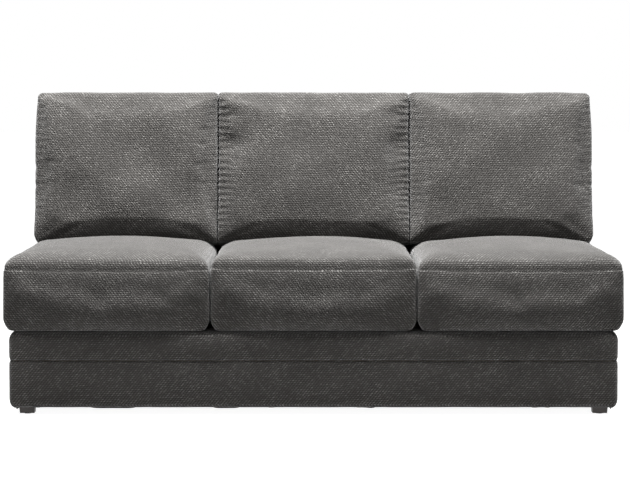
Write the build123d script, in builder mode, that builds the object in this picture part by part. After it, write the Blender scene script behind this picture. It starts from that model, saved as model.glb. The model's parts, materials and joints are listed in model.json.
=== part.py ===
from build123d import *
import os
from math import cos, radians, sin, tan

# Armless three-seat sofa, in millimetres. +Z up, the front faces -Y, left is -X.
# The origin is on the floor, at the middle of the width and of the depth.

# Overall sizes
overall_depth = 1143.0  # front of the seat cushions to the outside back
base_clearance = 22.0  # floor to the underside of the covers
base_height = 245.0  # underside of the covers to the seat deck
back_frame_height = 842.0  # floor to the top of the upholstered back
back_base_depth = 243.0  # outside back to the foot of the inside back
back_rake = 9.5  # degrees that the inside back leans

# Loose cushions
cushion_gap = 3.0  # between neighbours
cushion_overhang = 16.0  # seat cushions beyond the base, at the front and both ends
rest_gap = 0.4  # between a loose cushion and what carries it
seat_cushion_width = 658.0
seat_boxing_height = 203.0  # deck to the top seam
seat_crown = 76.0  # top seam to the crest
seat_roll = 45.0  # depth of the rolled front and rear edges
seat_roll_rise = 31.0  # height of the rolled edges
seat_front_bulge = 10.0
end_flatness = 0.8  # share of the bulge that is gone at a cushion's ends
seat_bottom_round = 26.0
seat_bottom_seam = 14.0  # deck to the bottom seam
back_centre_width = 662.0
back_side_width = 634.0
back_cushion_height = 518.0
back_cushion_thickness = 230.0
back_edge_thickness = 150.0
back_corner_round = 34.0
cover_thickness = 8.0  # cloth with its fibre wrap
fill_gap = 0.4  # between a cover and its filling
side_draw = 15.0  # how far a cushion's ends pull in
mid_draw = 0.5  # share of that draw left at its own distance from the end
fall_draw = 0.14  # share left where the full crown starts
edge_fall = 90.0  # from a cushion's end to its full crown
back_rear_draw = 30.0  # how far a back cushion's rear draws in at its ends
back_front_crown = 34.0
back_top_crown = 8.0

# Upholstered covers on the frame
skin = 12.0  # cloth and padding
end_round = skin + 10.0
bottom_round = skin + 14.0
front_round = skin + 18.0
rear_top_round = skin + 20.0
inside_top_round = skin + 22.0
deck_corner_round = 10.0
front_seam_height = 174.0  # floor to the seam across the front
front_return = 120.0  # front covers' return along the ends and the deck
seam_inset = 30.0  # end and rear seams from the edge

# Timber
board = 25.0
stretcher_height = 100.0
seat_rail_height = 90.0
lower_back_rail_height = 60.0
lower_back_rail_lift = 40.0  # above the deck
block_leg = 110.0
block_height = 40.0

# Padding under the covers
deck_pad_thickness = 12.0
back_pad_thickness = 20.0

# Springs
springs_per_seat = 5
springs_per_back = 4
seat_wire = 3.8
back_wire = 3.2
loop_pitch = 40.0
bar_length = 12.0
clip_sheet = 1.2
clip_width = 10.0
clip_strip = 14.0
clip_lip = 9.0
wire_gap = 0.1
tie_wire = 2.4
tie_rows = 2

# Feet
foot_size = 52.0
foot_inset = 30.0  # from the covers' faces
foot_cover_gap = 4.0  # between a foot and the covers turned under the rails
foot_taper = 5.0
glide_diameter = 22.0
glide_height = 3.0
dust_cover_thickness = 1.5
bolt_diameter = 8.0
bolt_depth_in_foot = 18.0
bolt_end = 8.0  # bolt past the nut
nut_flange = 20.0
nut_flange_thickness = 1.5
nut_barrel = 10.0
nut_barrel_length = 10.0
hole_gap = 0.1

# Worked out from the sizes above
places = ("left", "centre", "right")
seat_cushion_depth = overall_depth - back_base_depth - cushion_gap
seat_row_width = 3 * seat_cushion_width + 2 * cushion_gap
base_half = seat_row_width / 2 - cushion_overhang
front_y = -overall_depth / 2
rear_y = overall_depth / 2
base_front = front_y + cushion_overhang
deck_z = base_clearance + base_height
rake = radians(back_rake)
seat_rear_y = front_y + seat_cushion_depth
inside_y = seat_rear_y + cushion_gap  # foot of the inside back, at the deck
turn_under = foot_inset - foot_cover_gap
frame_half = base_half - skin
frame_front = base_front + skin
frame_rear = rear_y - skin
frame_bottom = base_clearance + skin
frame_top = back_frame_height - skin
spring_stack = seat_wire + 2 * wire_gap + 2 * clip_sheet  # a clipped bar, over its rail
back_spring_stack = back_wire + 2 * wire_gap + 2 * clip_sheet
rail_top = deck_z - skin - deck_pad_thickness - spring_stack
back_frame_offset = skin + back_pad_thickness
seat_pitch = seat_cushion_width + cushion_gap
seat_centres = {"left": -seat_pitch, "centre": 0.0, "right": seat_pitch}
back_pitch = (back_centre_width + back_side_width) / 2 + cushion_gap
back_centres = {"left": -back_pitch, "centre": 0.0, "right": back_pitch}
back_widths = {"left": back_side_width, "centre": back_centre_width, "right": back_side_width}


def inside_back(z, offset=0.0):
    """Where the leaning inside back is at height z, or a face set behind it by offset."""
    return inside_y + (z - deck_z) * tan(rake) + offset / cos(rake)


def leaned(out, up):
    """Point out from the inside back and up along it, as (y, z)."""
    y = inside_y + up * sin(rake) - out * cos(rake)
    z = deck_z + up * cos(rake) + out * sin(rake)
    return (y, z)


def save(part, name):
    """Labels one finished piece and writes it."""
    part.label = name
    export_step(part, os.path.join("parts", name + ".step"))


# Upholstered shape


def side_outline(offset=0.0):
    """Corners of the sofa's side view, moved inwards by offset."""
    top = back_frame_height - offset
    deck = deck_z - offset
    bottom = base_clearance + offset
    return [
        (base_front + offset, bottom),
        (rear_y - offset, bottom),
        (rear_y - offset, top),
        (inside_back(top, offset), top),
        (inside_back(deck, offset), deck),
        (base_front + offset, deck),
    ]


def upholstered_form():
    """The outside of all the fixed covers."""
    rounds = [
        bottom_round,
        bottom_round,
        rear_top_round,
        inside_top_round,
        deck_corner_round,
        front_round,
    ]
    with BuildPart() as form:
        with BuildSketch(Plane.YZ):
            with BuildLine():
                FilletPolyline(*side_outline(), radius=rounds, close=True)
            make_face()
        extrude(amount=base_half, both=True)
        ends = form.faces().sort_by(Axis.X)
        fillet(ends[0].edges() + ends[-1].edges(), radius=end_round)
    return form.part


def frame_form():
    """The space inside the covers."""
    with BuildPart() as form:
        with BuildSketch(Plane.YZ):
            with BuildLine():
                Polyline(*side_outline(skin), close=True)
            make_face()
        extrude(amount=frame_half, both=True)
    return form.part


far = 2 * overall_depth  # beyond every face, for regions open on one side
front_cut = base_front + front_return
rear_cut = rear_y - seam_inset
side_cut = base_half - seam_inset
outside = upholstered_form()
inside = frame_form()


def block(x_range, y_range, z_range, mode):
    """A box between two limits each way, combined with the part being built."""
    size = [high - low for low, high in (x_range, y_range, z_range)]
    middle = [(high + low) / 2 for low, high in (x_range, y_range, z_range)]
    with Locations(tuple(middle)):
        Box(*size, mode=mode)


def cover_piece(x_range, y_range, z_range):
    """The covers' shell between three pairs of limits, open underneath."""
    with BuildPart() as piece:
        add(outside)
        add(inside, mode=Mode.SUBTRACT)
        block(x_range, y_range, z_range, Mode.INTERSECT)
        block(
            (-base_half + turn_under, base_half - turn_under),
            (base_front + turn_under, rear_y - turn_under),
            (0, frame_bottom),
            Mode.SUBTRACT,
        )
    return piece.part


whole_front = ((-far, far), (base_front, front_cut))
middle = ((-side_cut, side_cut), (front_cut, rear_cut))
left_end = ((-base_half, -side_cut), (front_cut, rear_cut))
right_end = ((side_cut, base_half), (front_cut, rear_cut))
save(cover_piece(*whole_front, (0, front_seam_height)), "front_panel_cover")
save(cover_piece(*whole_front, (front_seam_height, deck_z)), "front_border_cover")
save(cover_piece(*left_end, (0, deck_z)), "end_cover_left")
save(cover_piece(*right_end, (0, deck_z)), "end_cover_right")
save(cover_piece(*left_end, (deck_z, back_frame_height)), "back_end_cover_left")
save(cover_piece(*right_end, (deck_z, back_frame_height)), "back_end_cover_right")
save(cover_piece(*middle, (deck_z - skin, deck_z)), "deck_cover")
save(cover_piece(*middle, (deck_z, back_frame_height)), "inside_back_cover")
save(cover_piece((-far, far), (rear_cut, rear_y), (0, back_frame_height)), "outside_back_cover")

# Timber frame

with BuildPart() as front_rail:
    with Locations((0, frame_front + board / 2, (frame_bottom + rail_top) / 2)):
        Box(2 * frame_half, board, rail_top - frame_bottom)
save(front_rail.part, "front_rail")

with BuildPart() as rear_rail:
    with Locations((0, frame_rear - board / 2, (frame_bottom + rail_top) / 2)):
        Box(2 * frame_half, board, rail_top - frame_bottom)
save(rear_rail.part, "rear_rail")

post_front = inside_back(deck_z, back_frame_offset)
seat_rail_rear = post_front
seat_rail_front = seat_rail_rear - board
side_rail_front = frame_front + board
for name, side in (("left", -1), ("right", 1)):
    with BuildPart() as side_rail:
        with Locations(
            (
                side * (frame_half - board / 2),
                (side_rail_front + post_front) / 2,
                (frame_bottom + rail_top) / 2,
            )
        ):
            Box(board, post_front - side_rail_front, rail_top - frame_bottom)
    save(side_rail.part, "side_rail_" + name)

with BuildPart() as rear_seat_rail:
    with Locations(
        (0, (seat_rail_front + seat_rail_rear) / 2, rail_top - seat_rail_height / 2)
    ):
        Box(2 * (frame_half - board), board, seat_rail_height)
save(rear_seat_rail.part, "rear_seat_rail")

stretcher_top = rail_top - seat_rail_height
with BuildPart() as seat_stretchers:
    with Locations(
        *[
            (x, (side_rail_front + post_front) / 2, stretcher_top - stretcher_height / 2)
            for x in (-seat_pitch / 2, seat_pitch / 2)
        ]
    ):
        Box(board, post_front - side_rail_front, stretcher_height)
save(seat_stretchers.part, "seat_stretchers")

top_rail_bottom = frame_top - board
post_centres = {
    "outer_left": -(frame_half - board / 2),
    "inner_left": -seat_pitch / 2,
    "inner_right": seat_pitch / 2,
    "outer_right": frame_half - board / 2,
}
for name, x in post_centres.items():
    with BuildPart() as back_post:
        with BuildSketch(Plane.YZ.offset(x)):
            with BuildLine():
                Polyline(
                    (post_front, frame_bottom),
                    (frame_rear - board, frame_bottom),
                    (frame_rear - board, rail_top),
                    (frame_rear, rail_top),
                    (frame_rear, top_rail_bottom),
                    (inside_back(top_rail_bottom, back_frame_offset), top_rail_bottom),
                    (post_front, deck_z),
                    close=True,
                )
            make_face()
        extrude(amount=board / 2, both=True)
    save(back_post.part, "back_post_" + name)

rail_face = back_frame_offset + back_spring_stack
with BuildPart() as top_rail:
    with BuildSketch(Plane.YZ):
        with BuildLine():
            Polyline(
                (inside_back(top_rail_bottom, rail_face), top_rail_bottom),
                (frame_rear, top_rail_bottom),
                (frame_rear, frame_top),
                (inside_back(frame_top, rail_face), frame_top),
                close=True,
            )
        make_face()
    extrude(amount=frame_half, both=True)
save(top_rail.part, "top_rail")

lower_rail_bottom = deck_z + lower_back_rail_lift
lower_rail_top = lower_rail_bottom + lower_back_rail_height
bay_edges = sorted(post_centres.values())
bays = [(a + board / 2, b - board / 2) for a, b in zip(bay_edges, bay_edges[1:])]
with BuildPart() as lower_back_rails:
    for left_end, right_end in bays:
        with BuildSketch(Plane.YZ.offset(left_end)):
            with BuildLine():
                Polyline(
                    (inside_back(lower_rail_bottom, rail_face), lower_rail_bottom),
                    (inside_back(lower_rail_bottom, rail_face + board), lower_rail_bottom),
                    (inside_back(lower_rail_top, rail_face + board), lower_rail_top),
                    (inside_back(lower_rail_top, rail_face), lower_rail_top),
                    close=True,
                )
            make_face()
        extrude(amount=right_end - left_end)
save(lower_back_rails.part, "lower_back_rails")

# Corner blocks, feet and their fasteners

foot_x = base_half - foot_inset - foot_size / 2
foot_front_y = base_front + foot_inset + foot_size / 2
foot_rear_y = rear_y - foot_inset - foot_size / 2
feet = {
    "front_left": (-foot_x, foot_front_y),
    "front_right": (foot_x, foot_front_y),
    "rear_left": (-foot_x, foot_rear_y),
    "rear_right": (foot_x, foot_rear_y),
}
block_top = frame_bottom + block_height
with BuildPart() as corner_blocks:
    for name, (x, y) in feet.items():
        side = 1 if x > 0 else -1
        facing = 1 if y < 0 else -1
        corner_x = side * (frame_half - board)
        corner_y = frame_front + board if y < 0 else frame_rear - board
        with BuildSketch(Plane.XY.offset(frame_bottom)):
            with BuildLine():
                Polyline(
                    (corner_x, corner_y),
                    (corner_x - side * block_leg, corner_y),
                    (corner_x, corner_y + facing * block_leg),
                    close=True,
                )
            make_face()
            with Locations((x, y)):
                Circle(nut_barrel / 2 + hole_gap, mode=Mode.SUBTRACT)
        extrude(amount=block_height)
save(corner_blocks.part, "corner_blocks")

foot_top = frame_bottom - dust_cover_thickness
for name, (x, y) in feet.items():
    with BuildPart() as foot:
        with BuildSketch(Plane.XY.offset(foot_top)):
            with Locations((x, y)):
                RectangleRounded(foot_size, foot_size, foot_taper)
        extrude(amount=-(foot_top - glide_height), taper=foot_taper)
        with Locations(Location((x, y, foot_top), (0, 0, 0))):
            Hole(bolt_diameter / 2, depth=bolt_depth_in_foot)
    save(foot.part, "foot_" + name)

with BuildPart() as foot_glides:
    with BuildSketch():
        with Locations(*feet.values()):
            Circle(glide_diameter / 2)
    extrude(amount=glide_height)
save(foot_glides.part, "foot_glides")

bolt_bottom = foot_top - bolt_depth_in_foot
bolt_top = block_top + nut_flange_thickness + bolt_end
with BuildPart() as foot_bolts:
    with BuildSketch(Plane.XY.offset(bolt_bottom)):
        with Locations(*feet.values()):
            Circle(bolt_diameter / 2)
    extrude(amount=bolt_top - bolt_bottom)
save(foot_bolts.part, "foot_bolts")

with BuildPart() as foot_nuts:
    with BuildSketch(Plane.XY.offset(block_top)):
        with Locations(*feet.values()):
            Circle(nut_flange / 2)
    extrude(amount=nut_flange_thickness)
    with BuildSketch(Plane.XY.offset(block_top - nut_barrel_length)):
        with Locations(*feet.values()):
            Circle(nut_barrel / 2)
    extrude(amount=nut_barrel_length)
    with BuildSketch(Plane.XY.offset(block_top - nut_barrel_length)):
        with Locations(*feet.values()):
            Circle(bolt_diameter / 2 + hole_gap)
    extrude(amount=nut_barrel_length + nut_flange_thickness, mode=Mode.SUBTRACT)
save(foot_nuts.part, "foot_nuts")

with BuildPart() as dust_cover:
    with BuildSketch(Plane.XY.offset(foot_top)):
        with Locations((0, (base_front + rear_y) / 2)):
            Rectangle(
                2 * (base_half - turn_under), rear_y - base_front - 2 * turn_under
            )
        with Locations(*feet.values()):
            Circle(bolt_diameter / 2 + hole_gap, mode=Mode.SUBTRACT)
    extrude(amount=dust_cover_thickness)
save(dust_cover.part, "dust_cover")

# Springs


def sinuous_path(plane, length, pitch):
    """Zigzag wire path: bars across the plane's x, half turns between them, along its y."""
    gaps = max(2, round(length / pitch))
    step = length / gaps
    with BuildLine(plane) as path:
        for k in range(gaps + 1):
            side = 1 if k % 2 == 0 else -1
            y = k * step
            Line((-side * bar_length / 2, y), (side * bar_length / 2, y))
            if k < gaps:
                ThreePointArc(
                    (side * bar_length / 2, y),
                    (side * (bar_length + step) / 2, y + step / 2),
                    (side * bar_length / 2, y + step),
                )
    return path.line


def sinuous_spring(plane, length, wire):
    """One zigzag spring."""
    path = sinuous_path(plane, length, loop_pitch)
    with BuildPart() as spring:
        with BuildSketch(Plane(origin=path @ 0, z_dir=path % 0)):
            Circle(wire / 2)
        sweep(path=path)
    return spring.part


def spread(centre, width, count):
    """Even places across one bay."""
    step = width / count
    return [centre + (k - (count - 1) / 2) * step for k in range(count)]


seat_wire_z = rail_top + clip_sheet + wire_gap + seat_wire / 2
front_bar_y = frame_front + board / 2
rear_bar_y = (seat_rail_front + seat_rail_rear) / 2
seat_spring = sinuous_spring(
    Plane(origin=(0, front_bar_y, seat_wire_z), x_dir=(1, 0, 0), z_dir=(0, 0, 1)),
    rear_bar_y - front_bar_y,
    seat_wire,
)
bay_width = min(right_end - left_end for left_end, right_end in bays)
bay_centres = dict(zip(places, [(a + b) / 2 for a, b in bays]))
spring_places = {
    place: spread(bay_centres[place], bay_width, springs_per_seat) for place in places
}
for place in places:
    with BuildPart() as seat_springs:
        with Locations(*[(x, 0, 0) for x in spring_places[place]]):
            add(seat_spring)
    save(seat_springs.part, "seat_springs_" + place)


def clip_profile(wire):
    """Bent clip round a bar at the origin, as rectangles (along, up, width, height)."""
    wall = -wire / 2 - wire_gap - clip_sheet / 2
    tall = wire + 2 * wire_gap + 2 * clip_sheet
    return [
        (wall + (clip_strip - clip_sheet) / 2, wall, clip_strip, clip_sheet),
        (wall, 0, clip_sheet, tall),
        (wall + (clip_lip - clip_sheet) / 2, -wall, clip_lip, clip_sheet),
    ]


def spring_clip(plane, wire):
    """One clip round a bar along the plane's normal."""
    with BuildPart() as clip:
        with BuildSketch(plane):
            for along, up, wide, tall in clip_profile(wire):
                with Locations((along, up)):
                    Rectangle(wide, tall)
        extrude(amount=clip_width / 2, both=True)
    return clip.part


def row_of(piece, centres):
    """Copies of one piece along X."""
    with BuildPart() as row:
        with Locations(*[(x, 0, 0) for x in centres]):
            add(piece)
    return row.part


all_seat_springs = [x for place in places for x in spring_places[place]]
front_clip_plane = Plane(origin=(0, front_bar_y, seat_wire_z), x_dir=(0, 1, 0), z_dir=(1, 0, 0))
rear_clip_plane = Plane(origin=(0, rear_bar_y, seat_wire_z), x_dir=(0, -1, 0), z_dir=(-1, 0, 0))
save(row_of(spring_clip(front_clip_plane, seat_wire), all_seat_springs), "spring_clips_front")
save(row_of(spring_clip(rear_clip_plane, seat_wire), all_seat_springs), "spring_clips_rear")

tie_z = seat_wire_z - seat_wire / 2 - wire_gap - tie_wire / 2
with BuildPart() as spring_tie_wires:
    for k in range(tie_rows):
        y = front_bar_y + (rear_bar_y - front_bar_y) * (k + 1) / (tie_rows + 1)
        with BuildSketch(Plane.YZ):
            with Locations((y, tie_z)):
                Circle(tie_wire / 2)
        extrude(amount=frame_half - board, both=True)
save(spring_tie_wires.part, "spring_tie_wires")

back_bar_out = -back_frame_offset - clip_sheet - wire_gap - back_wire / 2
lower_bar = (lower_rail_bottom + lower_rail_top) / 2
lower_bar_up = (lower_bar - deck_z) / cos(rake)
upper_bar_up = (frame_top - board / 2 - deck_z) / cos(rake)
back_spring = sinuous_spring(
    Plane(
        origin=(0, *leaned(back_bar_out, lower_bar_up)),
        x_dir=(1, 0, 0),
        z_dir=(0, -cos(rake), sin(rake)),
    ),
    upper_bar_up - lower_bar_up,
    back_wire,
)
back_spring_places = {
    place: spread(bay_centres[place], bay_width, springs_per_back) for place in places
}
for place in places:
    save(row_of(back_spring, back_spring_places[place]), "back_springs_" + place)

all_back_springs = [x for place in places for x in back_spring_places[place]]
lower_clip_plane = Plane(
    origin=(0, *leaned(back_bar_out, lower_bar_up)),
    x_dir=(0, sin(rake), cos(rake)),
    z_dir=(1, 0, 0),
)
upper_clip_plane = Plane(
    origin=(0, *leaned(back_bar_out, upper_bar_up)),
    x_dir=(0, -sin(rake), -cos(rake)),
    z_dir=(-1, 0, 0),
)
with BuildPart() as back_spring_clips:
    for clip_plane in (lower_clip_plane, upper_clip_plane):
        add(row_of(spring_clip(clip_plane, back_wire), all_back_springs))
save(back_spring_clips.part, "back_spring_clips")

# Padding under the covers

pad_half = side_cut - fill_gap
with BuildPart() as deck_pad:
    with BuildSketch(Plane.YZ):
        with BuildLine():
            Polyline(
                (front_cut, deck_z - skin - deck_pad_thickness),
                (front_cut, deck_z - skin),
                (inside_back(deck_z - skin, skin), deck_z - skin),
                (inside_back(deck_z - skin, skin), deck_z - skin - deck_pad_thickness),
                close=True,
            )
        make_face()
    extrude(amount=pad_half, both=True)
save(deck_pad.part, "deck_pad")

with BuildPart() as front_edge_roll:
    with BuildSketch(Plane.YZ):
        with BuildLine():
            Polyline(
                (frame_front, deck_z - skin),
                (front_cut, deck_z - skin),
                (front_cut, deck_z - skin - deck_pad_thickness),
                (frame_front, deck_z - skin - deck_pad_thickness),
                close=True,
            )
        make_face()
    extrude(amount=pad_half, both=True)
save(front_edge_roll.part, "front_edge_roll")

with BuildPart() as back_pad:
    with BuildSketch(Plane.YZ):
        with BuildLine():
            Polyline(
                (inside_back(deck_z, skin), deck_z),
                (inside_back(deck_z, back_frame_offset), deck_z),
                (inside_back(frame_top, back_frame_offset), frame_top),
                (inside_back(frame_top, skin), frame_top),
                close=True,
            )
        make_face()
    extrude(amount=pad_half, both=True)
save(back_pad.part, "back_pad")

# Loose cushions


arc_middle = 1 - sin(radians(45))  # a quarter round's middle, as a share of its radius


def cushion(stations, plane_at, outline):
    """Skins one cushion over its outlines at the stations across its width."""
    with BuildPart() as form:
        for x, draw in stations:
            with BuildSketch(plane_at(x)):
                with BuildLine():
                    outline(draw)
                make_face()
        loft()
    return form.part


def stations(centre, width, inset):
    """Places across one cushion, each with how far (0 to 1) it is drawn in there."""
    half = width / 2 - inset
    return [
        (centre - half, 1.0),
        (centre - half + side_draw, mid_draw),
        (centre - half + edge_fall, fall_draw),
        (centre, 0.0),
        (centre + half - edge_fall, fall_draw),
        (centre + half - side_draw, mid_draw),
        (centre + half, 1.0),
    ]


def seat_outline(draw, inset):
    """Closed side view of a seat cushion: boxing, rolled edges and crown."""
    front = front_y + seat_front_bulge + inset + draw * side_draw
    rear = seat_rear_y - inset - draw * side_draw
    bottom = deck_z + rest_gap + inset + draw * seat_bottom_seam
    seam = deck_z + seat_boxing_height - inset / 2
    roll_top = seam + (1 - draw) * (seat_roll_rise - inset / 2) + draw * seat_bottom_seam / 2
    crest = seam + (1 - draw) * (seat_crown - inset / 2) + draw * seat_bottom_seam
    waist = (bottom + seat_bottom_round + seam) / 2
    centre = (front + rear) / 2
    corner = seat_bottom_round * arc_middle
    shoulder = seat_roll * arc_middle
    ThreePointArc(
        (front, bottom + seat_bottom_round),
        (front - seat_front_bulge * (1 - end_flatness * draw), waist),
        (front, seam),
    )
    ThreePointArc(
        (front, seam),
        (front + shoulder, roll_top - (roll_top - seam) * arc_middle),
        (front + seat_roll, roll_top),
    )
    ThreePointArc((front + seat_roll, roll_top), (centre, crest), (rear - seat_roll, roll_top))
    ThreePointArc(
        (rear - seat_roll, roll_top),
        (rear - shoulder, roll_top - (roll_top - seam) * arc_middle),
        (rear, seam),
    )
    Line((rear, seam), (rear, bottom + seat_bottom_round))
    ThreePointArc(
        (rear, bottom + seat_bottom_round),
        (rear - corner, bottom + corner),
        (rear - seat_bottom_round, bottom),
    )
    Line((rear - seat_bottom_round, bottom), (front + seat_bottom_round, bottom))
    ThreePointArc(
        (front + seat_bottom_round, bottom),
        (front + corner, bottom + corner),
        (front, bottom + seat_bottom_round),
    )


# The seats' crown, an arc through both rolls and the crest, carries the back cushions.
crown_half = seat_cushion_depth / 2 - seat_roll
crown_rise = seat_crown - seat_roll_rise
crown_radius = (crown_half**2 + crown_rise**2) / (2 * crown_rise)
crown_centre_y = (front_y + seat_rear_y) / 2
crown_centre_z = deck_z + seat_boxing_height + seat_crown - crown_radius
back_bottom = (
    (crown_centre_y - inside_y) * sin(rake)
    + (crown_centre_z - deck_z) * cos(rake)
    + crown_radius
    + 2 * rest_gap
)


def back_outline(draw, inset):
    """Closed side view of a back cushion, as distance out of the inside back and up along it."""
    rear = rest_gap + inset + draw * back_rear_draw
    front_draw = back_cushion_thickness - back_edge_thickness - back_rear_draw
    front = rest_gap + back_cushion_thickness - inset - draw * front_draw
    bottom = back_bottom + inset + draw * side_draw
    top = back_bottom + back_cushion_height - inset - draw * side_draw
    round_size = back_corner_round
    corner = round_size * arc_middle
    half_way = (bottom + top) / 2
    edge = front - back_front_crown
    middle_out = (rear + edge) / 2
    Line((rear, bottom + round_size), (rear, top - round_size))
    ThreePointArc(
        (rear, top - round_size),
        (rear + corner, top - corner),
        (rear + round_size, top),
    )
    ThreePointArc(
        (rear + round_size, top), (middle_out, top + back_top_crown), (edge - round_size, top)
    )
    ThreePointArc(
        (edge - round_size, top),
        (edge - corner, top - corner),
        (edge, top - round_size),
    )
    ThreePointArc((edge, top - round_size), (front, half_way), (edge, bottom + round_size))
    ThreePointArc(
        (edge, bottom + round_size),
        (edge - corner, bottom + corner),
        (edge - round_size, bottom),
    )
    Line((edge - round_size, bottom), (rear + round_size, bottom))
    ThreePointArc(
        (rear + round_size, bottom),
        (rear + corner, bottom + corner),
        (rear, bottom + round_size),
    )


def seat_plane(x):
    """Side view plane of a seat cushion at x."""
    return Plane.YZ.offset(x)


def back_plane(x):
    """Plane of the back cushions' side view at x: its x is out of the inside back, its y up."""
    return Plane(
        origin=(x, inside_y, deck_z),
        x_dir=(0, -cos(rake), sin(rake)),
        z_dir=(-1, 0, 0),
    )


def save_cushion(kind, place, centre, width, plane_at, outline):
    """Writes one cushion's cover and the filling inside it."""

    def skinned(inset):
        return cushion(
            stations(centre, width, inset), plane_at, lambda draw: outline(draw, inset)
        )

    with BuildPart() as cushion_cover:
        add(skinned(0))
        add(skinned(cover_thickness), mode=Mode.SUBTRACT)
    save(cushion_cover.part, kind + "_cushion_cover_" + place)
    save(skinned(cover_thickness + fill_gap), kind + "_cushion_fill_" + place)


for place in places:
    save_cushion(
        "seat", place, seat_centres[place], seat_cushion_width, seat_plane, seat_outline
    )
    save_cushion(
        "back", place, back_centres[place], back_widths[place], back_plane, back_outline
    )
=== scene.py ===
import json
from math import atan, cos, exp, pi, radians, sin, sqrt

import bmesh
import bpy
from mathutils import Matrix, Vector, noise


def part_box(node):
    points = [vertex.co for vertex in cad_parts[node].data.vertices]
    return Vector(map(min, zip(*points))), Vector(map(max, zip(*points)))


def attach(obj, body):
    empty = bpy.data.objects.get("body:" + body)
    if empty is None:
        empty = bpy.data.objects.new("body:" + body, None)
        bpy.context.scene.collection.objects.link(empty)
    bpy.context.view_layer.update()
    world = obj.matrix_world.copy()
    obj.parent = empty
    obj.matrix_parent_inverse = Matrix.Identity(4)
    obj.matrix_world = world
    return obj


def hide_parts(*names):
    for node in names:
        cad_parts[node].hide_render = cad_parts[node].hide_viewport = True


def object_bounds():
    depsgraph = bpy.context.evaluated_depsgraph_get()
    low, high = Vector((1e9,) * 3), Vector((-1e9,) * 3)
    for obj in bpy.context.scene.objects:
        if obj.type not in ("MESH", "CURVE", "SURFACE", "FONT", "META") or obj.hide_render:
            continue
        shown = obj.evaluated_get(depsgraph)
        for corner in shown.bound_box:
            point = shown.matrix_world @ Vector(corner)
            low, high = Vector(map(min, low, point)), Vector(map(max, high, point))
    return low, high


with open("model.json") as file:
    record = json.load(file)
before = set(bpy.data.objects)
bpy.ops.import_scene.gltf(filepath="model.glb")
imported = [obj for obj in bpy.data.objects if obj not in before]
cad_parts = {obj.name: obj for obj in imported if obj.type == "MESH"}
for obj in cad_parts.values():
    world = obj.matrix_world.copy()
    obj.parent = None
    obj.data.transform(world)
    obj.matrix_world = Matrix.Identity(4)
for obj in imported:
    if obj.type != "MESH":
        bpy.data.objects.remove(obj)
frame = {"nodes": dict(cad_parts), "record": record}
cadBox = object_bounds()
nodes = frame["nodes"]
places = ("left", "centre", "right")
print("frame loaded")

# Materials

chenille = {
    "ground": (0.027, 0.025, 0.023),  # between the tufts
    "tuft": (0.098, 0.093, 0.087),  # the tufts' tips
    "paleTuft": (0.200, 0.193, 0.183),  # the lightest tufts
    "cell": 0.0098,  # metres from tuft to tuft
    "rowShare": 0.62,  # rows' distance, as a share of the cell
    "tuftLong": 0.62,
    "tuftShort": 0.30,
    "lean": 38.0,  # degrees that a tuft lies over
    "wander": (0.9, 0.7),  # how far the yarns stray, in cells, across and up
    "bump": 0.7,
    "bumpDepth": 0.0028,
    "sheen": 0.35,
}


class Nodes:
    # A short hand for building one node tree.
    def __init__(self, name):
        self.material = bpy.data.materials.new(name)
        self.material.use_nodes = True
        self.tree = self.material.node_tree
        self.shader = self.tree.nodes["Principled BSDF"]

    def add(self, kind, **settings):
        node = self.tree.nodes.new(kind)
        for key, value in settings.items():
            setattr(node, key, value)
        return node

    def link(self, source, target):
        self.tree.links.new(source, target)

    def feed(self, socket, value):
        if hasattr(value, "links"):
            self.link(value, socket)
        else:
            socket.default_value = value

    def maths(self, operation, *values):
        node = self.add("ShaderNodeMath", operation=operation)
        for socket, value in zip(node.inputs, values):
            self.feed(socket, value)
        return node.outputs[0]

    def spread(self, value, low, high, newLow=0.0, newHigh=1.0):
        node = self.add("ShaderNodeMapRange", interpolation_type="SMOOTHSTEP")
        for socket, item in zip(node.inputs, (value, low, high, newLow, newHigh)):
            self.feed(socket, item)
        return node.outputs[0]

    def noise(self, vector, scale, detail=3.0):
        node = self.add("ShaderNodeTexNoise")
        self.link(vector, node.inputs["Vector"])
        node.inputs["Scale"].default_value = scale
        node.inputs["Detail"].default_value = detail
        return node.outputs["Fac"]

    def blendColours(self, factor, first, second):
        node = self.add("ShaderNodeMix", data_type="RGBA")
        self.feed(node.inputs["Factor"], factor)
        for name, value in (("A", first), ("B", second)):
            socket = [s for s in node.inputs if s.name == name and s.type == "RGBA"][0]
            if isinstance(value, tuple):
                socket.default_value = (*value, 1.0)
            else:
                self.link(value, socket)
        return [s for s in node.outputs if s.type == "RGBA"][0]

    def bump(self, height, strength, distance):
        node = self.add("ShaderNodeBump")
        node.inputs["Strength"].default_value = strength
        node.inputs["Distance"].default_value = distance
        self.link(height, node.inputs["Height"])
        self.link(node.outputs["Normal"], self.shader.inputs["Normal"])


def boxCoordinates(kit):
    # Two lengths along the surface, picked by which way it faces.
    where = kit.add("ShaderNodeTexCoord")
    place = kit.add("ShaderNodeSeparateXYZ")
    facing = kit.add("ShaderNodeSeparateXYZ")
    kit.link(where.outputs["Object"], place.inputs[0])
    kit.link(where.outputs["Normal"], facing.inputs[0])
    x, y, z = place.outputs
    nx, ny, nz = [kit.maths("ABSOLUTE", s) for s in facing.outputs]
    isEnd = kit.maths("GREATER_THAN", nx, kit.maths("MAXIMUM", ny, nz))
    isTop = kit.maths("GREATER_THAN", nz, kit.maths("MAXIMUM", nx, ny))
    notEnd = kit.maths("SUBTRACT", 1.0, isEnd)
    notTop = kit.maths("SUBTRACT", 1.0, isTop)
    across = kit.maths("ADD", kit.maths("MULTIPLY", isEnd, y), kit.maths("MULTIPLY", notEnd, x))
    up = kit.maths("ADD", kit.maths("MULTIPLY", isTop, y), kit.maths("MULTIPLY", notTop, z))
    return across, up


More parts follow.
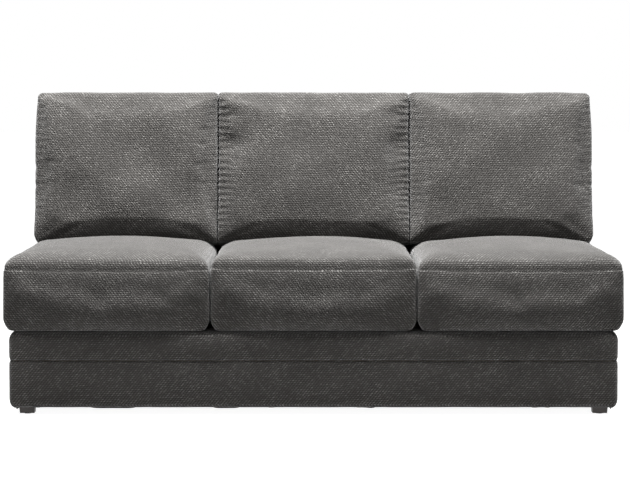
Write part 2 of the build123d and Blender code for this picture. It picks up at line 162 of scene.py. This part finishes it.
def uvCoordinates(kit):
    where = kit.add("ShaderNodeUVMap", uv_map="weave")
    place = kit.add("ShaderNodeSeparateXYZ")
    kit.link(where.outputs[0], place.inputs[0])
    return place.outputs[0], place.outputs[1]


def chenilleMaterial(name, hasUv, leanSign):
    kit = Nodes(name)
    values = chenille
    cell = values["cell"]
    across, up = uvCoordinates(kit) if hasUv else boxCoordinates(kit)
    objectPlace = kit.add("ShaderNodeTexCoord").outputs["Object"]
    # yarns wander a little
    wander = kit.maths("SUBTRACT", kit.noise(objectPlace, 26.0, 2.0), 0.5)
    wanderAcross, wanderUp = values["wander"]
    across = kit.maths("MULTIPLY_ADD", wander, cell * wanderAcross, across)
    up = kit.maths("MULTIPLY_ADD", wander, cell * wanderUp, up)
    # each row of tufts is set over by half a tuft
    rows = kit.maths("DIVIDE", up, cell * values["rowShare"])
    row = kit.maths("FLOOR", rows)
    rowPart = kit.maths("FRACT", rows)
    shifted = kit.maths("MULTIPLY_ADD", row, 0.5, kit.maths("DIVIDE", across, cell))
    column = kit.maths("FLOOR", shifted)
    columnPart = kit.maths("SUBTRACT", kit.maths("FRACT", shifted), 0.5)
    rowPart = kit.maths("SUBTRACT", rowPart, 0.5)
    turn = radians(values["lean"]) * leanSign
    along = kit.maths("ADD", kit.maths("MULTIPLY", columnPart, cos(turn)),
                      kit.maths("MULTIPLY", rowPart, sin(turn)))
    aside = kit.maths("SUBTRACT", kit.maths("MULTIPLY", rowPart, cos(turn)),
                      kit.maths("MULTIPLY", columnPart, sin(turn)))
    longPart = kit.maths("POWER", kit.maths("DIVIDE", along, values["tuftLong"]), 2.0)
    shortPart = kit.maths("POWER", kit.maths("DIVIDE", aside, values["tuftShort"]), 2.0)
    reach = kit.maths("SQRT", kit.maths("ADD", longPart, shortPart))
    tuft = kit.spread(reach, 1.15, 0.15)
    cellPlace = kit.add("ShaderNodeCombineXYZ")
    kit.link(column, cellPlace.inputs[0])
    kit.link(row, cellPlace.inputs[1])
    chance = kit.add("ShaderNodeTexWhiteNoise", noise_dimensions="3D")
    kit.link(cellPlace.outputs[0], chance.inputs["Vector"])
    chance = chance.outputs["Value"]
    fuzz = kit.noise(objectPlace, 900.0, 2.0)
    paintedPileShading = kit.spread(kit.noise(objectPlace, 9.0, 4.0), 0.33, 0.70)  # pile lying two ways, painted as blotches of lighter sheen and darker shade
    pale = kit.spread(chance, 0.45, 1.0)
    tipColour = kit.blendColours(pale, values["tuft"], values["paleTuft"])
    amount = kit.maths("MULTIPLY", tuft, kit.maths("MULTIPLY_ADD", fuzz, 0.7, 0.55))
    # the painted sheen and shade blotches lighten and darken the tufts
    amount = kit.maths("MULTIPLY", amount, kit.maths("MULTIPLY_ADD", paintedPileShading, 0.55, 0.55))
    colour = kit.blendColours(amount, values["ground"], tipColour)
    kit.link(colour, kit.shader.inputs["Base Color"])
    tuftHeight = kit.maths("MULTIPLY", tuft, kit.maths("MULTIPLY_ADD", chance, 0.5, 0.6))
    height = kit.maths("ADD", tuftHeight, kit.maths("MULTIPLY", fuzz, 0.35))
    kit.bump(height, values["bump"], values["bumpDepth"])
    kit.shader.inputs["Roughness"].default_value = 0.95
    kit.shader.inputs["Specular IOR Level"].default_value = 0.15
    kit.shader.inputs["Sheen Weight"].default_value = values["sheen"]
    kit.shader.inputs["Sheen Roughness"].default_value = 0.5
    return kit.material


def plainCloth(name, colour, thread):
    kit = Nodes(name)
    where = kit.add("ShaderNodeTexCoord").outputs["Object"]
    waves = []
    for direction in ("X", "Y"):
        wave = kit.add("ShaderNodeTexWave", bands_direction=direction)
        kit.link(where, wave.inputs["Vector"])
        wave.inputs["Scale"].default_value = 0.314 / thread
        waves.append(wave.outputs["Fac"])
    weave = kit.maths("MAXIMUM", *waves)
    spot = kit.spread(kit.noise(where, 40.0), 0.3, 0.7, 0.7, 1.1)
    shade = kit.maths("MULTIPLY", kit.spread(weave, 0.0, 1.0, 0.7, 1.0), spot)
    dark = tuple(c * 0.5 for c in colour)
    kit.link(kit.blendColours(shade, dark, colour), kit.shader.inputs["Base Color"])
    kit.shader.inputs["Roughness"].default_value = 0.9
    kit.bump(weave, 0.4, thread * 0.3)
    return kit.material


def woodMaterial(name, colour, dark, rough, coat):
    kit = Nodes(name)
    where = kit.add("ShaderNodeTexCoord").outputs["Object"]
    stretch = kit.add("ShaderNodeMapping")
    stretch.inputs["Scale"].default_value = (1.0, 9.0, 9.0)
    kit.link(where, stretch.inputs["Vector"])
    grain = kit.noise(stretch.outputs[0], 14.0, 8.0)
    pores = kit.noise(stretch.outputs[0], 120.0, 2.0)
    mixed = kit.maths("ADD", kit.maths("MULTIPLY", grain, 0.7), kit.maths("MULTIPLY", pores, 0.3))
    stain = kit.blendColours(kit.spread(mixed, 0.3, 0.7), dark, colour)
    kit.link(stain, kit.shader.inputs["Base Color"])
    kit.shader.inputs["Roughness"].default_value = rough
    kit.shader.inputs["Coat Weight"].default_value = coat
    kit.bump(mixed, 0.25, 0.0006)
    return kit.material


def metalMaterial(name, colour, rough):
    kit = Nodes(name)
    where = kit.add("ShaderNodeTexCoord").outputs["Object"]
    streak = kit.noise(where, 300.0, 3.0)
    kit.link(kit.blendColours(streak, tuple(c * 0.75 for c in colour), colour),
             kit.shader.inputs["Base Color"])
    kit.shader.inputs["Metallic"].default_value = 1.0
    worn = kit.spread(streak, 0.2, 0.8, rough * 0.8, rough * 1.3)
    kit.link(worn, kit.shader.inputs["Roughness"])
    kit.bump(streak, 0.08, 0.0003)
    return kit.material


def plasticMaterial(name, colour, rough):
    kit = Nodes(name)
    where = kit.add("ShaderNodeTexCoord").outputs["Object"]
    speck = kit.noise(where, 500.0, 3.0)
    kit.link(kit.blendColours(speck, tuple(c * 0.8 for c in colour), colour),
             kit.shader.inputs["Base Color"])
    kit.shader.inputs["Roughness"].default_value = rough
    kit.bump(speck, 0.15, 0.0002)
    return kit.material


clothLeft = chenilleMaterial("chenille_left", True, -1)
clothRight = chenilleMaterial("chenille_right", True, 1)
clothFrame = chenilleMaterial("chenille_frame", False, 1)
clothFrontBand = chenilleMaterial("chenille_front", True, 1)
slotMaterials = {
    "upholstery": clothFrame,
    "filling": plainCloth("fibre_wrap", (0.86, 0.85, 0.80), 0.004),
    "lining": plainCloth("deck_lining", (0.085, 0.078, 0.070), 0.0012),
    "dust_cloth": plainCloth("dust_cloth", (0.022, 0.022, 0.023), 0.0010),
    "timber": woodMaterial("pine", (0.62, 0.44, 0.25), (0.40, 0.25, 0.12), 0.7, 0.0),
    "dark_wood": woodMaterial("stained_wood", (0.016, 0.009, 0.006), (0.006, 0.004, 0.003),
                              0.5, 0.1),
    "glide_plastic": plasticMaterial("glide_plastic", (0.03, 0.03, 0.03), 0.6),
    "zinc_steel": metalMaterial("zinc_plate", (0.72, 0.72, 0.70), 0.35),
    "spring_wire": metalMaterial("spring_wire", (0.32, 0.33, 0.35), 0.4),
}
for part in frame["record"]["subparts"]:
    cadNode = nodes[part["node"]]
    cadNode.data.materials.clear()
    cadNode.data.materials.append(slotMaterials[part["material_slot"]])
print("materials made")

# Shapes


def gridCuts(count, edge):
    # Even cuts from -1 to 1, and closer ones by the seams at each end.
    inner = 1.0 - edge
    evenly = [-inner + 2 * inner * k / count for k in range(count + 1)]
    closer = [1.0 - edge * share for share in (0.25, 0.55)]
    return sorted(evenly + closer + [-c for c in closer])


def onFace(share):
    # True where a share from -1 to 1 is at either end, so on the box's own face.
    return abs(share) > 0.9999


def boxShell(cuts):
    # A closed box from -1 to 1, cut across each axis.
    mesh = bmesh.new()
    bmesh.ops.create_cube(mesh, size=2.0)
    for axis, axisCuts in enumerate(cuts):
        normal = Vector([1.0 if k == axis else 0.0 for k in range(3)])
        for cut in axisCuts:
            everything = mesh.verts[:] + mesh.edges[:] + mesh.faces[:]
            bmesh.ops.bisect_plane(mesh, geom=everything, plane_co=normal * cut, plane_no=normal)
    return mesh


def quarterRound(distance, reach):
    # Rises from 0 at an edge to 1, as a quarter circle does.
    share = min(1.0, max(0.0, distance / reach))
    return sqrt(1 - (1 - share) ** 2)


def bell(distance, width):
    return exp(-((distance / width) ** 2))


def roundCorner(x, y, halfX, halfY, radius):
    # Draws the corner of a rectangle into an arc.
    overX = abs(x) - (halfX - radius)
    overY = abs(y) - (halfY - radius)
    if overX <= 0 or overY <= 0:
        return x, y
    pull = max(overX, overY) / sqrt(overX ** 2 + overY ** 2)
    x = (halfX - radius + overX * pull) * (1 if x > 0 else -1)
    y = (halfY - radius + overY * pull) * (1 if y > 0 else -1)
    return x, y


def weaveUv(mesh):
    # Lays each panel out flat at its real size, by which way it faces.
    layer = mesh.loops.layers.uv.new("weave")
    mesh.normal_update()
    for face in mesh.faces:
        n = face.normal
        for loop in face.loops:
            p = loop.vert.co
            if abs(n.z) > max(abs(n.x), abs(n.y)):
                loop[layer].uv = (p.x, p.y)
            elif abs(n.x) > abs(n.y):
                loop[layer].uv = (p.y, p.z)
            else:
                loop[layer].uv = (p.x, p.z)


def soften(piece):
    smoother = piece.modifiers.new("soften", "SUBSURF")
    smoother.levels = 1
    smoother.render_levels = 1


def clothPiece(mesh, name, material, body):
    # Makes the mesh a piece of the sofa's upholstery that rides on a body.
    bmesh.ops.recalc_face_normals(mesh, faces=mesh.faces[:])
    for face in mesh.faces:
        face.smooth = True
    data = bpy.data.meshes.new(name)
    mesh.to_mesh(data)
    mesh.free()
    data.materials.append(material)
    piece = bpy.data.objects.new(name, data)
    bpy.context.scene.collection.objects.link(piece)
    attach(piece, body)
    return piece


clothSettings = {
    "steps": 16,
    "quality": 5,
    "mass": 0.3,  # kilograms at each point
    "seamShrink": 0.012,  # share by which a seam draws up
    "tension": 12.0,
    "bend": 0.4,
}


def settleCloth(mesh, drawn, held, pressure, cap):
    # Blows the closed cover up as cloth, drawn tight at its seams, and keeps the result.
    values = clothSettings
    data = bpy.data.meshes.new("settling")
    mesh.to_mesh(data)
    piece = bpy.data.objects.new("settling", data)
    bpy.context.scene.collection.objects.link(piece)
    seamGroup = piece.vertex_groups.new(name="seams")
    heldGroup = piece.vertex_groups.new(name="held")
    seamGroup.add(drawn, 1.0, "REPLACE")
    heldGroup.add(held, 1.0, "REPLACE")
    cloth = piece.modifiers.new("cloth", "CLOTH")
    settings = cloth.settings
    settings.quality = values["quality"]
    settings.mass = values["mass"]
    settings.tension_stiffness = values["tension"]
    settings.compression_stiffness = values["tension"]
    settings.bending_stiffness = values["bend"]
    settings.use_pressure = True
    settings.uniform_pressure_force = pressure
    settings.vertex_group_mass = "held"
    settings.vertex_group_shrink = "seams"
    settings.shrink_min = 0.0
    settings.shrink_max = values["seamShrink"]
    settings.effector_weights.gravity = 0.0
    cloth.collision_settings.use_collision = False
    scene = bpy.context.scene
    for step in range(1, values["steps"] + 1):
        scene.frame_set(step)
    settled = piece.evaluated_get(bpy.context.evaluated_depsgraph_get()).to_mesh()
    for point in settled.vertices:
        vert = mesh.verts[point.index]
        move = point.co - vert.co
        if move.length > cap:
            move = move.normalized() * cap
        vert.co = vert.co + move
    bpy.data.objects.remove(piece)
    scene.frame_set(1)


def fitBox(mesh, low, high, axes):
    # Brings a settled cushion back to the room it has, with its shape kept.
    for axis in axes:
        least = min(vert.co[axis] for vert in mesh.verts)
        most = max(vert.co[axis] for vert in mesh.verts)
        scale = (high[axis] - low[axis]) / (most - least)
        for vert in mesh.verts:
            vert.co[axis] = low[axis] + (vert.co[axis] - least) * scale


def fillWidth(mesh, seamVerts, middleX, halfX, slack, share=1.0):
    # Spreads the cover until its seams reach the sides, where the neighbours press it flat.
    reaches = sorted(abs(mesh.verts[index].co.x - middleX) for index in seamVerts)
    spread = (halfX - slack) / reaches[int(share * (len(reaches) - 1))]
    for vert in mesh.verts:
        offset = (vert.co.x - middleX) * spread
        vert.co.x = middleX + max(-halfX, min(halfX, offset))


def fillTop(mesh, seamVerts, halfZ, slack):
    # Raises the cover's upper half until its top seam runs nearly level.
    reaches = sorted(mesh.verts[index].co.z for index in seamVerts)
    spread = (halfZ - slack) / reaches[len(reaches) // 2]
    for vert in mesh.verts:
        if vert.co.z > 0:
            vert.co.z = min(halfZ, vert.co.z * spread)


def sinkSeam(mesh, seamVerts, depth):
    # Pulls the seam's own line in between the panels that it joins.
    mesh.normal_update()
    moves = [(vert, vert.normal.copy()) for vert in mesh.verts if vert.index in seamVerts]
    for vert, normal in moves:
        vert.co -= normal * depth


# Loose seat cushions

seatCushion = {
    "acrossCuts": 34,
    "depthCuts": 46,
    "heightCuts": 9,
    "edge": 0.05,
    "cornerRadius": 0.020,
    "bottomRound": 0.026,
    "bottomWide": 1.7,  # how much further the ends round under than the front
    "sideBulge": 0.006,
    "frontBulge": 0.010,
    "roll": {"left": 0.044, "centre": 0.038, "right": 0.044},  # rise just inside the seams
    "rollReach": {"left": 0.050, "centre": 0.034, "right": 0.050},
    "arch": {"left": 0.034, "centre": 0.034, "right": 0.034},  # slow rise to the middle
    "seamHeight": 0.196,  # bottom to the top seam
    "seamDip": 0.0030,  # how far the panels draw in at the top seam
    "seamDipReach": 0.007,
    "seamDepth": 0.0030,  # the seam line's own depth
    "seamReach": 0.012,  # what counts as the seam when the cover is blown up
    "seamSlack": 0.001,  # the seams' distance inside the sides
    "pressure": 1.6,
    "cap": 0.008,
    "dimple": 0.004,  # depth of broad unevenness
    "fill": 0.85,
}


def seatCushionPiece(place, turn):
    values = seatCushion
    low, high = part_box("seat_cushion_cover_" + place)
    centreX = (low[0] + high[0]) / 2
    centreY = (low[1] + high[1]) / 2
    halfX = (high[0] - low[0]) / 2
    halfY = (high[1] - low[1]) / 2 - values["frontBulge"] / 2
    bottom = low[2]
    seam = bottom + values["seamHeight"]
    roll = values["roll"][place]
    rollReach = values["rollReach"][place]
    arch = values["arch"][place]
    mesh = boxShell([gridCuts(values[key], values["edge"])
                     for key in ("acrossCuts", "depthCuts", "heightCuts")])
    drawn = []
    held = []
    seamLine = set()
    mesh.verts.index_update()
    for vert in mesh.verts:
        u, v, t = vert.co
        onTop = onFace(t) and t > 0
        onBottom = onFace(t) and t < 0
        if onTop and (onFace(u) or onFace(v)):
            seamLine.add(vert.index)
        x, y = roundCorner(u * halfX, v * halfY, halfX, halfY, values["cornerRadius"])
        z = bottom + (t + 1) / 2 * values["seamHeight"]
        if onTop:
            riseX = quarterRound((1 - abs(u)) * halfX, rollReach)
            riseY = quarterRound((1 - abs(v)) * halfY, rollReach)
            z = seam + roll * riseX * riseY + arch * (1 - u * u) * (1 - v * v)
        elif not onBottom:
            bulge = 1 - t * t
            if onFace(u):
                x += u * values["sideBulge"] * bulge * (1 - v * v)
            if onFace(v):
                y += v * values["frontBulge"] * bulge * (1 - u ** 4)
        # the bottom edge rounds under
        height = z - bottom
        if height < values["bottomRound"]:
            share = 1 - height / values["bottomRound"]
            tuck = values["bottomRound"] * (1 - sqrt(max(0.0, 1 - share * share)))
            x -= tuck * values["bottomWide"] * u ** 9
            y -= tuck * v ** 9
        # the top seam pulls in
        edgeReach = min((1 - abs(u)) * halfX, (1 - abs(v)) * halfY) if onTop else 0.0
        gap = sqrt(edgeReach ** 2 + (0 if onTop else (seam - z)) ** 2)
        dip = values["seamDip"] * bell(gap, values["seamDipReach"])
        x -= dip * u ** 9
        y -= dip * v ** 9
        z -= dip * 0.5 if onTop else 0.0
        wave = noise.noise(Vector((x * 3.1 + turn * 7, y * 2.7, turn * 3.3)))
        if onTop:
            z += values["dimple"] * wave * riseX * riseY
        elif v < -0.99:
            y += values["dimple"] * 0.6 * wave * (1 - t * t)
        if gap < values["seamReach"]:
            drawn.append(vert.index)
        if onBottom or height < 0.004:
            held.append(vert.index)
        vert.co = (centreX + x, centreY + values["frontBulge"] / 2 + y, z)
    mesh.verts.ensure_lookup_table()
    settleCloth(mesh, drawn, held, values["pressure"], values["cap"])
    fitBox(mesh, low, high, (1, 2))
    fillWidth(mesh, seamLine, centreX, halfX, values["seamSlack"])
    sinkSeam(mesh, seamLine, values["seamDepth"])
    weaveUv(mesh)
    name = "seat_cushion_" + place
    piece = clothPiece(mesh, name, clothRight if turn > 0 else clothLeft, name)
    soften(piece)
    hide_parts("seat_cushion_cover_" + place, "seat_cushion_fill_" + place)


for seatIndex, seatPlace in enumerate(places):
    seatCushionPiece(seatPlace, seatIndex - 1)
print("seat cushions made")

# Loose back cushions

backCushion = {
    "rake": 9.5,  # degrees
    "acrossCuts": 40,
    "heightCuts": 76,
    "depthCuts": 8,
    "edge": 0.06,
    "topCorner": 0.022,
    "outerCorner": 0.034,  # at the bottom
    "innerCorner": 0.014,
    "extraTall": 0.020,  # what the rounded corners take from the upright box
    "extraThick": 0.020,
    "edgeShare": 0.66,  # boxing's share of the full thickness
    "crownPower": 3.2,  # higher keeps the panels fuller towards their seams
    "rearFullness": 1.6,
    "boxingBow": 0.002,
    "seamDepth": 0.0015,
    "seamSlack": 0.001,
    "seamReach": 0.012,
    "pressure": 2.2,
    "cap": 0.013,
    "outerTuck": 0.008,  # how far the outer sides narrow to the bottom
    "topTuck": 0.012,  # and to the very top
    "gather": {"left": 0.0012, "centre": 0.0038, "right": 0.0012},
    "gatherPitch": 0.023,
    "gatherFrom": 0.82,  # share of the half width where the gathers start
    "dimple": 0.014,
    "dents": {  # hollows in the front: across and up from the middle, width, depth, in metres
        "left": ((0.10, 0.02, 0.11, 0.010), (-0.17, -0.10, 0.08, 0.007),
                 (0.20, -0.14, 0.07, 0.008)),
        "centre": ((-0.275, 0.085, 0.050, 0.017), (0.275, 0.085, 0.050, 0.017),
                   (-0.270, 0.175, 0.030, 0.010), (0.270, 0.175, 0.030, 0.010),
                   (0.02, -0.13, 0.10, 0.008)),
        "right": ((-0.20, -0.13, 0.07, 0.009), (0.13, 0.07, 0.10, 0.009),
                  (-0.10, 0.11, 0.05, 0.006)),
    },
    "nickHeights": (0.205, 0.270),  # small folds on the outer sides, from the bottom
    "nickDepth": 0.005,
    "nickTall": 0.006,
    "topWave": 0.004,
    "fill": 0.7,
}


def backCushionPiece(place, turn):
    values = backCushion
    rake = radians(values["rake"])
    low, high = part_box("back_cushion_cover_" + place)
    centreX = (low[0] + high[0]) / 2
    halfX = (high[0] - low[0]) / 2
    # the leaning box inside the upright one
    tall = high[2] - low[2]
    deep = high[1] - low[1]
    height = (tall * cos(rake) - deep * sin(rake)) / cos(2 * rake) + values["extraTall"]
    thick = (deep * cos(rake) - tall * sin(rake)) / cos(2 * rake) + values["extraThick"]
    halfY = thick / 2
    halfZ = height / 2
    power = values["crownPower"]
    mesh = boxShell([gridCuts(values[key], values["edge"])
                     for key in ("acrossCuts", "depthCuts", "heightCuts")])
    drawn = []
    held = []
    seamLine = set()
    sideSeam = set()
    topSeam = set()
    mesh.verts.index_update()
    for vert in mesh.verts:
        u, v, t = vert.co
        if onFace(v) and (onFace(u) or onFace(t)):
            seamLine.add(vert.index)
            if v < 0 and abs(t) < 0.7:
                sideSeam.add(vert.index)
            if v < 0 and onFace(t) and t > 0 and abs(u) < 0.8:
                topSeam.add(vert.index)
        lower = "outerCorner" if turn * u > 0 else "innerCorner"
        corner = values["topCorner" if t > 0 else lower]
        x, z = roundCorner(u * halfX, t * halfZ, halfX, halfZ, corner)
        swell = (max(0.0, 1 - abs(u) ** power) * max(0.0, 1 - abs(t) ** power)) ** 0.5
        edge = halfY * values["edgeShare"]
        crown = min(1.0, swell * values["rearFullness"]) if v > 0 else swell
        y = v * (edge + (halfY - edge) * crown)
        # the boxing bows out between its seams
        bow = values["boxingBow"] * (1 - v * v)
        x += u ** 15 * (bow - values["boxingBow"])
        z += t ** 15 * (bow * 2.4 - values["boxingBow"] * 2.4)
        # the outer sides narrow downwards, and a little at the very top
        if turn * u > 0:
            fall = max(0.0, (0.35 - t) / 1.35)
            rise = max(0.0, (t - 0.35) / 0.65)
            outward = turn * (values["outerTuck"] * fall ** 1.3 + values["topTuck"] * rise ** 2)
            x -= outward * abs(u)
            up = (t + 1) * halfZ
            for nick in values["nickHeights"]:
                pinch = values["nickDepth"] * bell(up - nick, values["nickTall"])
                x -= turn * pinch * abs(u) ** 20
        # gathers along the sides
        reach = max(0.0, (abs(u) - values["gatherFrom"]) / (1 - values["gatherFrom"]))
        drift = 2.2 * noise.noise(Vector((u, z * 9, turn + 5)))
        ripple = sin(2 * pi * z / values["gatherPitch"] + drift)
        front = 1.0 if v < -0.9 else 0.0
        y -= front * values["gather"][place] * ripple * reach * (1 - abs(t) ** 8)
        broad = noise.noise(Vector((x * 4.2 + turn * 9, z * 5.1, 2.0 + turn)))
        y -= front * values["dimple"] * broad * swell
        for dentX, dentZ, dentWide, dentDeep in values["dents"][place]:
            y += front * dentDeep * bell(sqrt((x - dentX) ** 2 + (z - dentZ) ** 2), dentWide)
        topNoise = noise.noise(Vector((x * 9, turn * 4, 1.0)))
        z += values["topWave"] * topNoise * max(0.0, t) ** 6
        seamGap = min((1 - abs(u)) * halfX, (1 - abs(t)) * halfZ)
        if abs(v) > 0.97 and seamGap < values["seamReach"]:
            drawn.append(vert.index)
        if t < -0.999 or v > 0.999:
            held.append(vert.index)
        vert.co = (x, y, z)
    mesh.verts.ensure_lookup_table()
    settleCloth(mesh, drawn, held, values["pressure"], values["cap"])
    fitBox(mesh, (-halfX, -halfY, -halfZ), (halfX, halfY, halfZ), (1, 2))
    fillWidth(mesh, sideSeam, 0.0, halfX, values["seamSlack"], 0.5)
    fillTop(mesh, topSeam, halfZ, values["seamSlack"])
    sinkSeam(mesh, seamLine, values["seamDepth"])
    weaveUv(mesh)
    lean = Matrix.Rotation(-rake, 4, "X")
    bmesh.ops.transform(mesh, matrix=lean, verts=mesh.verts[:])
    # seated in the leaning room that its solid holds
    top = max(vert.co.z for vert in mesh.verts)
    rear = max(vert.co.y for vert in mesh.verts)
    shift = Vector((centreX, high[1] - rear, high[2] - top))
    bmesh.ops.translate(mesh, vec=shift, verts=mesh.verts[:])
    name = "back_cushion_" + place
    piece = clothPiece(mesh, name, clothRight if turn > 0 else clothLeft, name)
    soften(piece)
    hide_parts("back_cushion_cover_" + place, "back_cushion_fill_" + place)


for backIndex, backPlace in enumerate(places):
    backCushionPiece(backPlace, backIndex - 1)
print("back cushions made")

# Front of the base: two upholstered bands with a seam between them

frontBand = {
    "acrossCuts": 110,
    "depthCuts": 8,
    "heightCuts": 12,
    "edges": (0.01, 0.2, 0.12),  # where the closer cuts start, from each face
    "cornerRadius": 0.024,
    "topRound": 0.030,
    "bottomRound": 0.026,
    "puff": 0.003,  # how far a band swells between its seams
    "seamPinch": 0.0035,
    "seamPinchReach": 0.005,
    "endShare": 0.75,  # the ends' rounding, as a share of the front's
    "endReach": 0.05,  # where the rounding of the ends starts
    "wave": 0.0022,
    "clothThick": 0.006,
}


def frontBandPiece(name, node, openAbove):
    values = frontBand
    low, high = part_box(node)
    halfX = (high[0] - low[0]) / 2
    halfY = (high[1] - low[1]) / 2
    centreY = (high[1] + low[1]) / 2
    counts = [values[key] for key in ("acrossCuts", "depthCuts", "heightCuts")]
    mesh = boxShell([gridCuts(count, edge) for count, edge in zip(counts, values["edges"])])
    openSide = 1 if openAbove else -1
    inner = []
    for face in mesh.faces:
        middle = face.calc_center_median()
        if middle.y > 0.999 or middle.z * openSide > 0.999:
            inner.append(face)
    bmesh.ops.delete(mesh, geom=inner, context="FACES")
    roundSize = values["bottomRound"] if openAbove else values["topRound"]
    for vert in mesh.verts:
        u, v, t = vert.co
        x = u * halfX
        y = v * halfY
        if v < 0:
            x, y = roundCorner(x, y, halfX, halfY, values["cornerRadius"])
        z = low[2] + (t + 1) / 2 * (high[2] - low[2])
        fromRound = z - low[2] if openAbove else high[2] - z
        fromSeam = high[2] - z if openAbove else z - low[2]
        tuck = roundSize * (1 - quarterRound(fromRound, roundSize))
        ends = (abs(x) - halfX + values["endReach"]) / values["endReach"]
        ends = max(0.0, min(1.0, ends)) ** 2
        outwards = values["endShare"] * (1 if u > 0 else -1)
        pinch = values["seamPinch"] * bell(fromSeam, values["seamPinchReach"])
        wave = values["wave"] * noise.noise(Vector((x * 5.0, z * 14.0, 4.0)))
        swell = (values["puff"] * (1 - t * t) + wave) * (1 - ends)
        onFront = v < -0.999
        if onFront or abs(u) > 0.999:
            if onFront:
                y += tuck + pinch - swell * (1 - abs(u) ** 30)
            if abs(u) > 0.999:
                x -= tuck * outwards + pinch * (1 if u > 0 else -1)
            elif onFront:
                x -= tuck * outwards * ends
        else:
            # the turned-over edge runs in level
            x -= roundSize * outwards * ends
            y = max(y, -halfY + roundSize)
        vert.co = (x, max(y, -halfY - 0.004) + centreY, z)
    bmesh.ops.remove_doubles(mesh, verts=mesh.verts[:], dist=0.0002)
    weaveUv(mesh)
    piece = clothPiece(mesh, name, clothFrontBand, "frame")
    thicken = piece.modifiers.new("cloth", "SOLIDIFY")
    thicken.thickness = values["clothThick"]
    thicken.offset = -1.0
    soften(piece)
    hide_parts(node)


frontBandPiece("front_lower_band", "front_panel_cover", True)
frontBandPiece("front_upper_band", "front_border_cover", False)
print("front bands made")

# Studio: pale floor, soft lamps, white behind

studio = {
    "photoWidth": 630,
    "photoHeight": 504,
    "cameraAcross": 0.0048,
    "cameraHeight": 1.03,
    "cameraDistance": 8.6,  # from the seat fronts
    "horizonRow": 92.0,  # in the photograph's 504 rows
    "focalPixels": 2713.0,
    "floorColour": (0.34, 0.34, 0.34),
    "floorWhite": 0.95,  # added where the camera sees it
    "worldLight": 0.045,
    "lampTarget": (0.0, 0.0, 0.4),
    "topLamp": {"place": (0.0, -0.40, 3.4), "size": (4.0, 1.1), "power": 540.0},
    "topLampTarget": (0.0, -0.30, 0.5),
    "frontLamp": {"place": (0.0, -5.0, 2.6), "size": (4.0, 2.0), "power": 16.0},
    "rightLamp": {"place": (3.4, -0.9, 1.2), "size": (1.2, 2.0), "power": 12.0},
    "leftLamp": {"place": (-3.4, -0.9, 1.2), "size": (1.2, 2.0), "power": 12.0},
}


def softLamp(name, target):
    values = studio[name]
    lamp = bpy.data.lights.new(name, "AREA")
    lamp.shape = "RECTANGLE"
    lamp.size, lamp.size_y = values["size"]
    lamp.energy = values["power"]
    holder = bpy.data.objects.new(name, lamp)
    bpy.context.scene.collection.objects.link(holder)
    aim = Vector(target) - Vector(values["place"])
    turned = aim.to_track_quat("-Z", "Y").to_matrix().to_4x4()
    holder.matrix_world = Matrix.Translation(values["place"]) @ turned


def makeCamera():
    values = studio
    scene = bpy.context.scene
    front = cadBox[0][1]
    lens = bpy.data.cameras.new("camera")
    lens.lens = lens.sensor_width * values["focalPixels"] / values["photoWidth"]
    lens.clip_end = 100.0
    camera = bpy.data.objects.new("camera", lens)
    scene.collection.objects.link(camera)
    pitch = atan((values["photoHeight"] / 2 - values["horizonRow"]) / values["focalPixels"])
    camera.location = (values["cameraAcross"], front - values["cameraDistance"],
                       values["cameraHeight"])
    camera.rotation_euler = (pi / 2 - pitch, 0.0, 0.0)
    scene.camera = camera


def makeFloor():
    values = studio
    mesh = bmesh.new()
    bmesh.ops.create_grid(mesh, x_segments=1, y_segments=1, size=60.0)
    data = bpy.data.meshes.new("floor")
    mesh.to_mesh(data)
    mesh.free()
    floor = bpy.data.objects.new("floor", data)
    bpy.context.scene.collection.objects.link(floor)
    kit = Nodes("floor_paint")
    kit.shader.inputs["Base Color"].default_value = (*values["floorColour"], 1.0)
    kit.shader.inputs["Roughness"].default_value = 0.9
    sight = kit.add("ShaderNodeLightPath")
    shown = kit.maths("MAXIMUM", sight.outputs["Is Camera Ray"], sight.outputs["Is Glossy Ray"])
    shown = kit.maths("MAXIMUM", shown, sight.outputs["Is Transmission Ray"])
    glow = kit.maths("MULTIPLY", shown, values["floorWhite"])
    kit.link(glow, kit.shader.inputs["Emission Strength"])
    kit.shader.inputs["Emission Color"].default_value = (1.0, 1.0, 1.0, 1.0)
    data.materials.append(kit.material)


def makeWorld():
    # White where it is seen, dim where it lights the sofa.
    world = bpy.data.worlds.new("studio")
    bpy.context.scene.world = world
    world.use_nodes = True
    tree = world.node_tree
    background = tree.nodes["Background"]
    background.inputs["Color"].default_value = (1.0, 1.0, 1.0, 1.0)
    rays = tree.nodes.new("ShaderNodeLightPath")
    seen = tree.nodes.new("ShaderNodeMath")
    seen.operation = "MAXIMUM"
    tree.links.new(rays.outputs["Is Camera Ray"], seen.inputs[0])
    tree.links.new(rays.outputs["Is Glossy Ray"], seen.inputs[1])
    either = tree.nodes.new("ShaderNodeMath")
    either.operation = "MAXIMUM"
    tree.links.new(seen.outputs[0], either.inputs[0])
    tree.links.new(rays.outputs["Is Transmission Ray"], either.inputs[1])
    strength = tree.nodes.new("ShaderNodeMapRange")
    tree.links.new(either.outputs[0], strength.inputs["Value"])
    strength.inputs["To Min"].default_value = studio["worldLight"]
    strength.inputs["To Max"].default_value = 1.0
    tree.links.new(strength.outputs[0], background.inputs["Strength"])


makeCamera()
makeFloor()
makeWorld()
softLamp("topLamp", studio["topLampTarget"])
for lampName in ("frontLamp", "leftLamp", "rightLamp"):
    softLamp(lampName, studio["lampTarget"])
bpy.context.scene.view_settings.view_transform = "Standard"
print("studio made")
